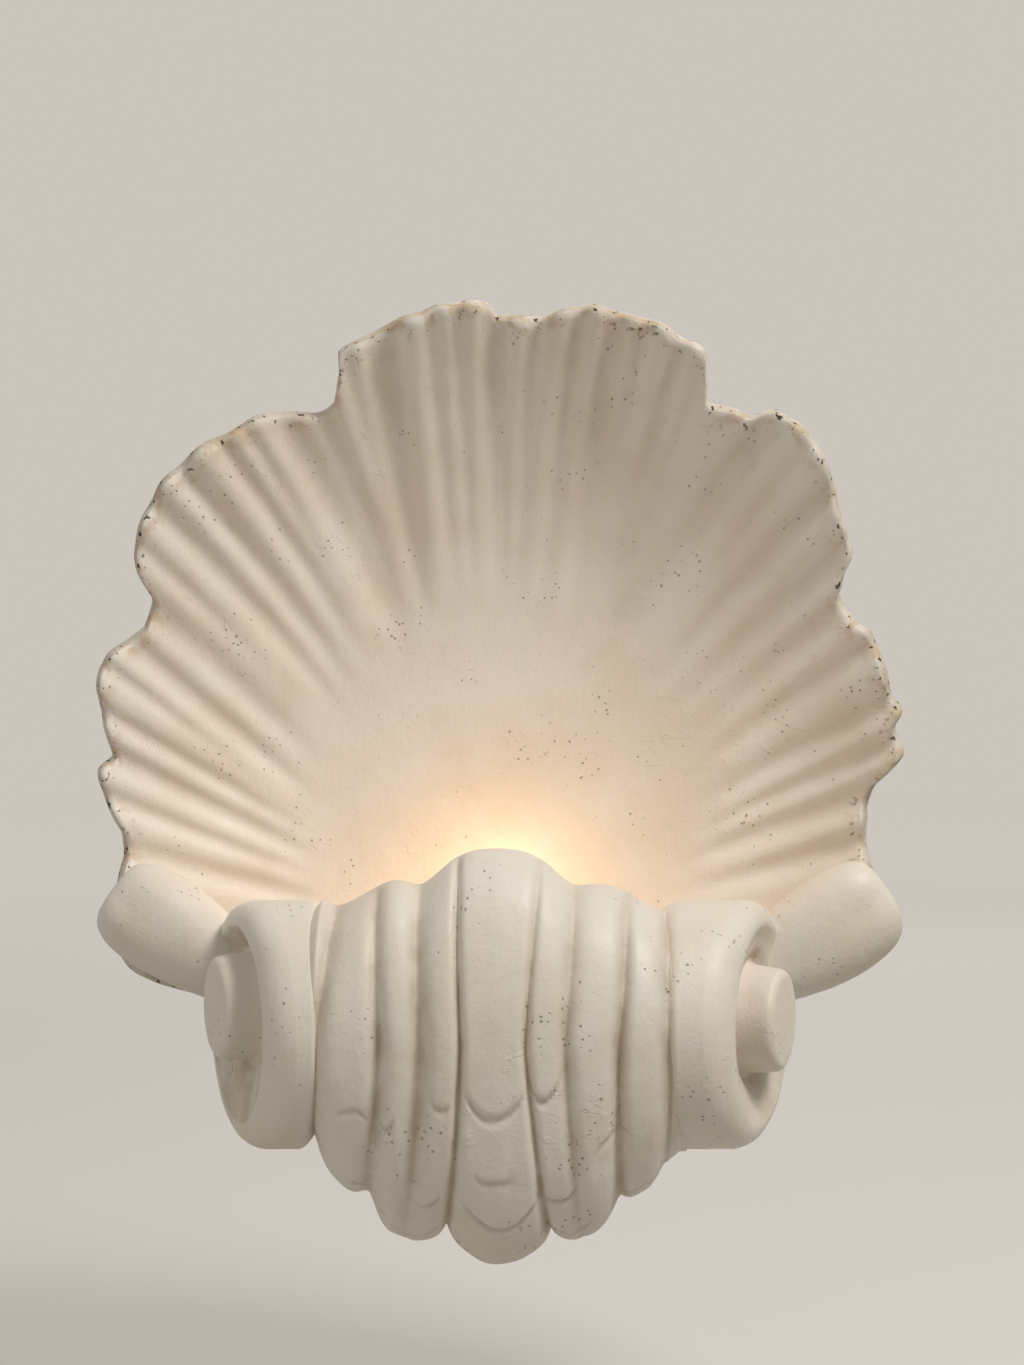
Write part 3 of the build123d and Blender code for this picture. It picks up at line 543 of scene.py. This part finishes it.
def plaster_material(name, paint):
    """Sealed plaster: off-white paint, pits, fine cracks, grime with painted shade in the grooves
    and hollows, worn rim.
    """
    dust_and_shade_brown = (0.46, 0.37, 0.27)
    bare_ochre = (0.50, 0.33, 0.13)
    speck_black = (0.04, 0.03, 0.02)
    pit_brown = (0.22, 0.16, 0.11)
    crack_brown = (0.36, 0.27, 0.19)
    material, tree, shader = new_material(name)
    place = object_place(tree)

    def patches(scale, low, high, new_low=0.0, new_high=1.0, detail=4.0):
        return remap(tree, noise_at(tree, place, scale, detail), low, high, new_low, new_high)

    warm = tuple(c * f for c, f in zip(paint, (0.95, 0.905, 0.84)))
    colour = tint(tree, paint, warm, patches(14.0, 0.38, 0.66, 0.0, 0.9, 5.0))
    # the marked darkening, broken up by noise and laid on in brown: grime with painted shade
    dust_and_shade = combine(tree, marked(tree, "grime_and_shade"), patches(60.0, 0.3, 0.7, 0.25, 0.75))
    colour = tint(tree, colour, dust_and_shade_brown, dust_and_shade)
    worn = combine(tree, marked(tree, "rim"), patches(95.0, 0.50, 0.60))
    colour = tint(tree, colour, bare_ochre, combine(tree, worn, 0.48))
    specks = combine(tree, marked(tree, "rim"), patches(240.0, 0.63, 0.67, detail=2.0))
    colour = tint(tree, colour, speck_black, specks)
    pits = combine(tree, remap(tree, cells_at(tree, place, 260.0), 0.10, 0.20, 1.0, 0.0),
                   patches(34.0, 0.53, 0.64))
    colour = tint(tree, colour, pit_brown, combine(tree, pits, 0.6))
    from_edge = cells_at(tree, place, 30.0, "DISTANCE_TO_EDGE")
    cracks = combine(tree, remap(tree, from_edge, 0.0, 0.014, 1.0, 0.0),
                     patches(17.0, 0.64, 0.72, detail=3.0))
    colour = tint(tree, colour, crack_brown, combine(tree, cracks, 0.3))
    tree.links.new(colour, shader.inputs["Base Color"])
    tree.links.new(patches(30.0, 0.3, 0.7, 0.42, 0.62), shader.inputs["Roughness"])
    shader.inputs["Specular IOR Level"].default_value = 0.42
    brushed = noise_at(tree, object_place(tree, (1, 1, 0.16)), 190.0, 3.0)
    flakes = combine(tree, patches(80.0, 0.60, 0.615), patches(11.0, 0.54, 0.62, detail=2.0))
    bumped(tree, shader, [
        (brushed, 0.20, 0.0010),
        (flakes, 0.5, 0.0005),
        (noise_at(tree, place, 420.0, 3.0), 0.34, 0.0007),
        (combine(tree, pits, -1.0), 0.75, 0.0013),
        (combine(tree, cracks, -1.0), 0.5, 0.0006),
    ])
    return material


plaster = plaster_material("sealed_plaster", (0.81, 0.765, 0.695))
casting_swell(fan, swell=0.0016, size=42.0, seed=3.0, material=plaster)
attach(fan, "sconce")
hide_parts("fan_shell")


# ----------------------------------------------------------------- scroll casting
# The scroll that hides the lamp: the same plaster, a hollow roll of ribs between
# two drums, with carved growth lines. It is bonded to the foot of the fan.
drum_x, drum_y, drum_z = 127.0, -118.0, -114.0
# the hood's silhouettes, as x and z of its top and underside, and x and y of its front
top_line = [
    (-96, -52), (-84, -53.5), (-77, -56.5), (-71, -54), (-62, -49), (-52, -43.5), (-45, -43.5),
    (-38, -46), (-34, -44), (-29, -39.5), (-21, -32.5), (-12, -29), (0, -28), (12, -29.5),
    (22, -34.5), (29, -41.5), (36, -46), (44, -45), (51, -45.5), (60, -48.5), (70, -55),
    (80, -59.5), (89, -57), (99, -54),
]
bottom_line = [
    (-107, -170), (-95, -168), (-88, -168), (-80, -181), (-71, -189.5), (-62, -191), (-54, -206),
    (-42, -213), (-32, -211), (-25, -206), (-18, -214), (-8, -221), (0, -222), (10, -220),
    (19, -214), (25.5, -207.5), (31, -211), (39, -211.5), (48, -206), (56, -195), (64, -191.5),
    (72, -187), (79, -179), (88, -179), (98, -176), (107, -172),
]
front_line = [(-96, -177), (-69, -181), (-46, -185), (-26, -188), (0, -189.5), (20, -188),
              (42, -186), (65, -182), (98, -177)]
# grooves between ribs: x at the top, middle and bottom, their depths there, half width
rib_grooves = [
    (-76, -83, -88, 3, 5, 4, 4.0), (-58, -54.7, -61.5, 2, 6, 4, 3.4),
    (-38, -36, -44, 2, 7, 1, 4.4), (-20, -17.5, -24.9, 3, 5.5, 5, 1.7),
    (20, 12.3, 25.5, 1, 4.5, 5, 1.7), (36, 30, 40, 2, 5, 1, 3.4),
    (62, 54, 56.4, 2, 6, 4, 3.0), (80, 76.5, 78.8, 3, 6, 4, 4.2),
]
# carved growth lines: middle x, half length, way round (0 top, 1 bottom), sag, depth
growth_lines = [
    (-2.0, 15.0, 0.60, 0.045, 1.8), (-2.0, 10.0, 0.70, 0.01, 0.7), (0.5, 19.0, 0.80, 0.055, 2.2),
    (20.5, 8.5, 0.58, 0.04, 1.6), (27.0, 11.0, 0.78, 0.045, 1.8), (31.0, 13.0, 0.90, 0.06, 1.8),
    (-40.0, 12.0, 0.91, 0.04, 1.7), (-33.0, 7.0, 0.79, 0.02, 1.3), (-52.0, 5.0, 0.64, 0.03, 1.4),
    (-66.0, 8.0, 0.63, -0.02, 0.8), (52.0, 9.0, 0.66, -0.02, 1.2), (-60.0, 9.0, 0.87, 0.03, 1.3),
    (60.0, 10.0, 0.88, 0.03, 1.2), (-26.0, 5.0, 0.60, 0.02, 0.9),
]
growth_line_width = 0.0065


def smoothed(table, x):
    """A silhouette table read with its corners rounded over 3 mm."""
    table_x, table_value = zip(*table)
    offsets = np.linspace(-3, 3, 7)
    return sum(np.interp(x + offset, table_x, table_value) for offset in offsets) / len(offsets)


def lead_share(x):
    """How much of the hood's forward lead it has at x: all in the middle, none at a drum."""
    return 1 - (x / drum_x) ** 2


def between_three(top, middle, low, way):
    """A value given at the top, middle and bottom of the front, read part of the way down."""
    part = way * 2
    return top + (middle - top) * part if part < 1 else middle + (low - middle) * (part - 1)


def rib_relief(x, way):
    """Depth of grooves and growth lines, and their darkening (grime with painted shade), at x and a
    share of the way down.
    """
    relief = 0.0
    local_grime_and_shade = 0.0
    for top_x, middle_x, low_x, top_depth, middle_depth, low_depth, width in rib_grooves:
        middle = between_three(top_x, middle_x, low_x, way) + 0.5 * sin(11 * way + middle_x)
        depth = between_three(top_depth, middle_depth, low_depth, way)
        fall = np.exp(-abs((x - middle) / width) ** 1.5)
        relief += depth * fall
        local_grime_and_shade = max(local_grime_and_shade, fall * min(1.0, depth / 6.0))
    for middle, half, place, sag, depth in growth_lines:
        u = (x - middle) / half
        if abs(u) < 1.1:
            line = (place + sag * (1 - u * u) - sag
                    + 0.0014 * sin(5 * u + middle) + 0.0006 * sin(19 * u))
            step = (way - line) / growth_line_width
            edge_fade = max(0.0, 1 - abs(u) ** 4)
            cut = np.exp(-step * step) * edge_fade
            below = np.exp(-((step - 5) / 7) ** 2) * (step > 0)
            relief += depth * cut + 0.4 * depth * edge_fade * below
            local_grime_and_shade = max(local_grime_and_shade, 0.8 * cut)
    return relief, local_grime_and_shade


def behind_fan_front(x, z):
    """The y 4 mm inside the fan's front surface, for what is seated on it."""
    way_round = np.arctan2(x, z - hub_z)
    reach = min(np.hypot(x, z - hub_z), float(edge_radius(way_round)))
    return -(floor_front + float(bowl_rise(way_round, reach))) + 4.0


outer_points = 190
under_points = 12
inner_points = 34
lip_points = 6
hollow_half = 67.0
lip_lead, keel_lead = 19, 27
seat_y = -21
foot_rise = 26
web_top = -84.0
top_wall, front_wall, bottom_wall = 11, 14, 15
lip_fade = 0.06
lip_bulge = 5.0
underside_share = 0.2
dive_depth = 7.0
left_dive_x, right_dive_x, dive_run = -84, 79, 6


def hood_section(x):
    """A closed slice of the hood at x, as y, z and darkening (grime with painted shade), which
    starts at the upper lip.
    """
    top, front, bottom = (float(smoothed(table, x))
                          for table in (top_line, front_line, bottom_line))
    lip = drum_y - lip_lead * lead_share(x)
    keel = drum_y - keel_lead * lead_share(x)
    hollow = abs(x) <= hollow_half
    # the two ends sink to pass under the drums
    dive = (dive_depth * np.clip((left_dive_x - x) / dive_run, 0, 1)
            + dive_depth * np.clip((x - right_dive_x) / dive_run, 0, 1))
    section = []
    # down the front
    for i in range(outer_points):
        way = i / (outer_points - 1)
        base = lip * (1 - way) + keel * way
        y = base + (front - base) * sin(pi * way)
        z = drum_z + abs(cos(pi * way)) * ((top if way < 0.5 else bottom) - drum_z)
        relief, local_grime_and_shade = rib_relief(x, way)
        length = max(1.0, np.hypot(y - drum_y, z - drum_z))
        sunk = relief * min(1.0, way / lip_fade) + dive
        y -= (y - drum_y) / length * sunk
        z -= (z - drum_z) / length * sunk
        section.append((y, z, local_grime_and_shade))
    # back along the underside to the fan, darkened a little as painted shade
    low_y, low_z, _ = section[-1]
    for i in range(1, under_points + 1):
        part = i / under_points
        section.append((low_y + (seat_y - low_y) * part,
                        low_z + (bottom + foot_rise - low_z) * part, 0.3))
    # up the inside to the lip, round the hollow or as a solid web beside it, faintly darkened as
    # painted shade
    tip_y, tip_z, _ = section[0]
    for i in range(inner_points + 1):
        part = i / inner_points
        if not hollow:
            rise_share = min(1.0, part * 2)
            run_share = max(0.0, part * 2 - 1)
            section.append((seat_y + (tip_y - seat_y) * run_share,
                            bottom + foot_rise + (web_top - bottom - foot_rise) * rise_share
                            + (tip_z - 2 - web_top) * run_share**2.2, 0.1))
        elif part < underside_share:
            section.append((seat_y + (keel + bottom_wall - seat_y) * part / underside_share,
                            bottom + bottom_wall + 20 * (1 - part / underside_share), 0.2))
        else:
            spin = pi * (1 - (part - underside_share) / (1 - underside_share))
            base = (lip + 2) * (1 - spin / pi) + (keel + bottom_wall) * spin / pi
            roof = top - top_wall if spin < pi / 2 else bottom + bottom_wall
            section.append((base + (front + front_wall - base) * sin(spin),
                            drum_z + abs(cos(spin)) * (roof - drum_z), 0.1))
    # round the lip
    last_y, last_z, _ = section[-1]
    for i in range(1, lip_points):
        bulge = pi * i / lip_points
        out = lip_bulge * sin(bulge) if hollow else 0.0
        section.append((last_y + (tip_y - last_y) * i / lip_points + out,
                        (tip_z + last_z) / 2 - (tip_z - last_z) / 2 * cos(bulge), 0.0))
    return section


columns = np.concatenate([np.linspace(-93, -68, 34), [-hollow_half], np.linspace(-66.4, 66.4, 172),
                          [hollow_half], np.linspace(68, 88, 30)])
hood_points = []
hood_grime_and_shade = []
for x in columns:
    for y, z, local_grime_and_shade in hood_section(x):
        hood_points.append((x, min(y, behind_fan_front(x, z)), z))
        hood_grime_and_shade.append(local_grime_and_shade)
slices = len(columns)
around = len(hood_points) // slices
hood_faces = tube_faces(slices, around)
hood_faces.append(tuple(range(around)))
hood_faces.append(tuple(reversed(range((slices - 1) * around, slices * around))))
hood = mesh_piece("hood", hood_points, hood_faces)
# the hood's darkening, made 1.3 times stronger: grime with painted shade in its grooves and carved
# lines, painted shade under and inside it
mark(hood, grime_and_shade=np.clip(1.3 * np.array(hood_grime_and_shade), 0, 1))

# drums: a round inner shoulder, a barrel, and a tilted dished end with a moat and an eye.
# Each row of the profile is a circle: its kind, its radius, and where it stands, which is
# 0 to 0.80 across the barrel, or a distance out from the end face.
drum_tilt = radians(21.7)
drum_radius = 59.0
end_shoulder = 11
barrel_share = 0.80
eye_fillet = 4.7
drum_profile = [
    ("barrel", 40.0, 0.0), ("barrel", 49.0, 0.0),
    *(("barrel", 49.0 + 10 * sin(a), 0.24 * (1 - cos(a))) for a in np.linspace(0.15, pi / 2, 9)),
    *(("barrel", drum_radius, share) for share in np.linspace(0.28, barrel_share, 12)),
    *(("end", drum_radius - end_shoulder * (1 - cos(a)), -end_shoulder + end_shoulder * sin(a))
      for a in np.linspace(0.1, pi / 2, 10)),
    ("end", 46.2, -0.5), ("end", 44.0, -1.4), ("end", 41.0, -2.6), ("end", 37.0, -3.8),
    ("end", 33.5, -4.7), ("end", 31.2, -6.0), ("end", 29.2, -7.8), ("eye", 27.0, -8.2),
    ("eye", 26.0, -6.4), ("eye", 25.4, 0.0), ("eye", 24.8, 5.0),
    *(("eye", 19.9 + eye_fillet * cos(a), 6.2 + eye_fillet * sin(a))
      for a in np.linspace(0.2, pi / 2, 8)),
    ("eye", 13.0, 11.2), ("eye", 6.0, 11.4), ("eye", 0.5, 11.4),
]
dish_radius, moat_radius = 46.3, 34
# the left (-1) and the right (1) drum differ, as in the photo
drum_inner_x = {-1: 82.0, 1: 76.0}
eye_lift = {-1: 8.0, 1: 2.0}
# the dish is darkened in brown, the left one fully and the right one by half: painted shade in the
# recessed end, with some grime
face_shade_and_grime = {-1: 1.0, 1: 0.5}


def drum_point(side, kind, reach, place, spin):
    """A point of one drum, on its profile at an angle round it."""
    wobble = 0.5 * noise.noise(Vector((2 * cos(spin), 2 * sin(spin), side + place * 0.05)))
    forward, upward = (reach + wobble) * cos(spin), (reach + wobble) * sin(spin)
    if kind == "barrel":
        y, z = drum_y + forward, drum_z + upward
        far = drum_x + (y - drum_y) * tan(drum_tilt) - end_shoulder / cos(drum_tilt)
        inner = drum_inner_x[side]
        if side < 0:
            # the left drum's inner edge slants outwards at its underside
            low_share = np.clip((-upward / drum_radius - 0.35) / 0.65, 0, 1)
            inner += 8.0 * low_share ** 1.6
        point = np.array([side * (inner + (far - inner) * place / barrel_share), y, z])
    else:
        # the end's rim follows the level barrel, its dish and eye stand square to the tilt
        across = np.array([side * sin(drum_tilt), cos(drum_tilt), 0])
        outward = np.array([side * cos(drum_tilt), -sin(drum_tilt), 0])
        centre = np.array([side * drum_x, drum_y, drum_z])
        up = np.array([0, 0, 1.0])
        stretch = 1 + (1 / cos(drum_tilt) - 1) * np.clip((reach - 30) / 29, 0, 1)
        lift = eye_lift[side] * np.clip((45 - reach) / 14, 0, 1)
        level = np.clip((reach - 36) / 12, 0, 1)
        axis = outward * (1 - level) + np.array([side / cos(drum_tilt), 0, 0]) * level
        point = centre + across * forward * stretch + up * (upward + lift) + axis * place
    point[1] = min(point[1], behind_fan_front(point[0], point[2]))
    return point


def end_caps(rings, around):
    """The faces that close a tube's first and last ring."""
    return [tuple(range(around)), tuple(range((rings - 1) * around, rings * around))]


drums = []
drum_around = 132
neck_rings = 10
neck_around = 40
neck_inner_x, neck_outer_x = 74, 104
neck_y, neck_half_depth, neck_half_height = -70, 49, 35
neck_squareness = 0.5
for side in (-1, 1):
    drum_points = [drum_point(side, kind, reach, place, 2 * pi * j / drum_around)
                   for kind, reach, place in drum_profile for j in range(drum_around)]
    drum = mesh_piece("drum", drum_points, tube_faces(len(drum_profile), drum_around)
                      + end_caps(len(drum_profile), drum_around))
    # rows of the dish and of the moat round the eye are darkened, the moat fully: painted shade in
    # the recess, with some grime
    row_shade_and_grime = []
    for kind, reach, _ in drum_profile:
        in_dish = kind == "end" and reach < dish_radius
        row_shade_and_grime.append((1.0 if reach < moat_radius else face_shade_and_grime[side]) if in_dish else 0.0)
    mark(drum, grime_and_shade=np.repeat(row_shade_and_grime, drum_around))
    drums.append(drum)
    # neck: the plaster web that carries the drum on the fan
    neck_points = []
    for x in np.linspace(neck_inner_x, neck_outer_x, neck_rings):
        for j in range(neck_around):
            spin = 2 * pi * j / neck_around
            y = neck_y + neck_half_depth * squared_off(cos(spin), neck_squareness)
            z = drum_z + neck_half_height * squared_off(sin(spin), neck_squareness)
            neck_points.append((side * x, min(y, behind_fan_front(side * x, z)), z))
    neck = mesh_piece("neck", neck_points, tube_faces(neck_rings, neck_around)
                      + end_caps(neck_rings, neck_around))
    mark(neck)
    drums.append(neck)

scroll = join("scroll_plaster", [hood, *drums])
casting_swell(scroll, swell=0.0010, size=55.0, seed=8.0, material=plaster)
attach(scroll, "sconce")
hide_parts("scroll_hood")


# ---------------------------------------------------------------- plated steel pieces
# Wall plate, hanger strap, lamp bracket and their fixings: zinc-plated mild steel with
# fine rolling lines and a slight bloom. The plate is screwed to the wall, the strap and
# the bracket to inserts cast in the plaster.
def metal(name, colour, roughness, lines, bloom):
    """Metal with fine lines along it and a duller bloom, each by its noise scale."""
    material, tree, shader = new_material(name)
    streaks = noise_at(tree, object_place(tree, (0.06, 1, 1)), lines, 3.0)
    dull = tuple(c * 0.72 for c in colour)
    bloomed = remap(tree, noise_at(tree, object_place(tree), bloom), 0.40, 0.68, 0.0, 0.8)
    tree.links.new(tint(tree, colour, dull, bloomed), shader.inputs["Base Color"])
    shader.inputs["Metallic"].default_value = 1.0
    tree.links.new(remap(tree, streaks, 0.3, 0.7, roughness - 0.08, roughness + 0.10),
                   shader.inputs["Roughness"])
    bumped(tree, shader, [(streaks, 0.12, 0.0002)])
    return material


def finish_nodes(material, *names):
    """Give CAD pieces their finish."""
    for name in names:
        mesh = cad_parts[name].data
        mesh.materials.clear()
        mesh.materials.append(material)


finish_nodes(metal("zinc_plate", (0.62, 0.63, 0.64), roughness=0.36, lines=700.0, bloom=90.0),
             "wall_plate", "hanger_strap", "strap_screws", "lamp_bracket", "bracket_washers",
             "bracket_screws", "lock_washer", "earth_screw")


# ------------------------------------------------------------------- brass and cap
# Turned brass: the inserts cast in the plaster, the threaded tube and its nut, the
# terminal screws and the holder's contact. The earth lug is tinned copper, the holder's
# screw shell nickel-plated, and the lamp's cap and tip plated brass.
finish_nodes(metal("turned_brass", (0.72, 0.53, 0.25), roughness=0.32, lines=900.0, bloom=120.0),
             "strap_inserts", "bracket_inserts", "nipple", "nipple_nut", "terminal_screws",
             "holder_contact")
finish_nodes(metal("tinned_copper", (0.72, 0.70, 0.66), roughness=0.30, lines=800.0, bloom=140.0),
             "earth_lug")
finish_nodes(metal("nickel_shell", (0.68, 0.66, 0.60), roughness=0.26, lines=800.0, bloom=140.0),
             "holder_shell")
finish_nodes(metal("cap_metal", (0.74, 0.66, 0.46), roughness=0.24, lines=800.0, bloom=150.0),
             "bulb_cap", "bulb_tip")


# --------------------------------------------------------------- moulded pieces
# Lampholder in dark phenolic on its threaded tube, terminal block in white nylon,
# grommet and bush in black rubber set in their holes, and the lamp lead's sheath: each
# moulded, with a faint grain.
def moulded(name, colour, roughness, grain, depth):
    """Plastic or rubber, faded in patches, with a grain of that noise scale and depth."""
    material, tree, shader = new_material(name)
    place = object_place(tree)
    faded = tuple(min(1.0, c * 1.25 + 0.01) for c in colour)
    fading = remap(tree, noise_at(tree, place, 70.0), 0.40, 0.70, 0.0, 0.6)
    tree.links.new(tint(tree, colour, faded, fading), shader.inputs["Base Color"])
    polish = noise_at(tree, place, 160.0)
    tree.links.new(remap(tree, polish, 0.3, 0.7, roughness - 0.06, roughness + 0.08),
                   shader.inputs["Roughness"])
    bumped(tree, shader, [(noise_at(tree, place, grain, 2.0), 0.2, depth)])
    return material


finish_nodes(moulded("phenolic", (0.075, 0.055, 0.045), roughness=0.36, grain=900.0, depth=0.0002),
             "holder_body")
finish_nodes(moulded("white_nylon", (0.80, 0.79, 0.74), roughness=0.48, grain=1100.0, depth=0.0002),
             "terminal_block")
finish_nodes(moulded("black_rubber", (0.03, 0.03, 0.03), roughness=0.72, grain=1400.0, depth=0.0003),
             "cable_grommet", "lead_bush")
finish_nodes(moulded("white_sheath", (0.76, 0.73, 0.66), roughness=0.44, grain=1200.0, depth=0.0001),
             "lamp_lead")


# ------------------------------------------------------------------- earth lead
# Single insulated wire, green with a yellow stripe wound along it. It runs from the
# terminal block to the lug that is screwed to the lamp bracket.
material, tree, shader = new_material("earth_sheath")
bands = tree.nodes.new("ShaderNodeTexWave")
bands.bands_direction = "DIAGONAL"
bands.inputs["Scale"].default_value = 90.0
tree.links.new(object_place(tree), bands.inputs["Vector"])
stripe = remap(tree, bands.outputs["Fac"], 0.52, 0.60)
tree.links.new(tint(tree, (0.07, 0.30, 0.07), (0.72, 0.62, 0.05), stripe),
               shader.inputs["Base Color"])
shader.inputs["Roughness"].default_value = 0.42
finish_nodes(material, "earth_lead")


# -------------------------------------------------------------------------- lamp
# Golf-ball lamp, screwed into the holder: a frosted blown bulb on a plated cap, with a
# glass foot and a tungsten filament inside. It is lit, and the glow on the fan is its own.
def mottled(name, colour, other_colour, scale):
    """A material that drifts between two close colours, and the noise it drifts by."""
    material, tree, shader = new_material(name)
    drift = noise_at(tree, object_place(tree), scale)
    tree.links.new(tint(tree, colour, other_colour, drift), shader.inputs["Base Color"])
    return material, tree, shader, drift


def glow(shader, colour, strength):
    """Light that a material gives off."""
    shader.inputs["Emission Color"].default_value = (*colour, 1)
    shader.inputs["Emission Strength"].default_value = strength


material, tree, shader, frost = mottled(
    "lit_frosted_glass", (0.93, 0.88, 0.80), (0.86, 0.79, 0.68), 60.0)
tree.links.new(remap(tree, frost, 0.3, 0.7, 0.30, 0.42), shader.inputs["Roughness"])
glow(shader, (1.0, 0.62, 0.34), 6.8)
finish_nodes(material, "bulb_glass")

material, tree, shader, _ = mottled("foot_glass", (0.86, 0.87, 0.85), (0.74, 0.76, 0.74), 120.0)
shader.inputs["Roughness"].default_value = 0.1
shader.inputs["Transmission Weight"].default_value = 0.7
finish_nodes(material, "bulb_stem")

material, tree, shader, _ = mottled(
    "black_cap_glass", (0.02, 0.02, 0.03), (0.06, 0.05, 0.06), 200.0)
shader.inputs["Roughness"].default_value = 0.14
finish_nodes(material, "bulb_insulator")

material, tree, shader, _ = mottled("hot_filament", (0.9, 0.6, 0.3), (0.6, 0.4, 0.2), 900.0)
glow(shader, (1.0, 0.62, 0.30), 12.0)
finish_nodes(material, "bulb_filament")
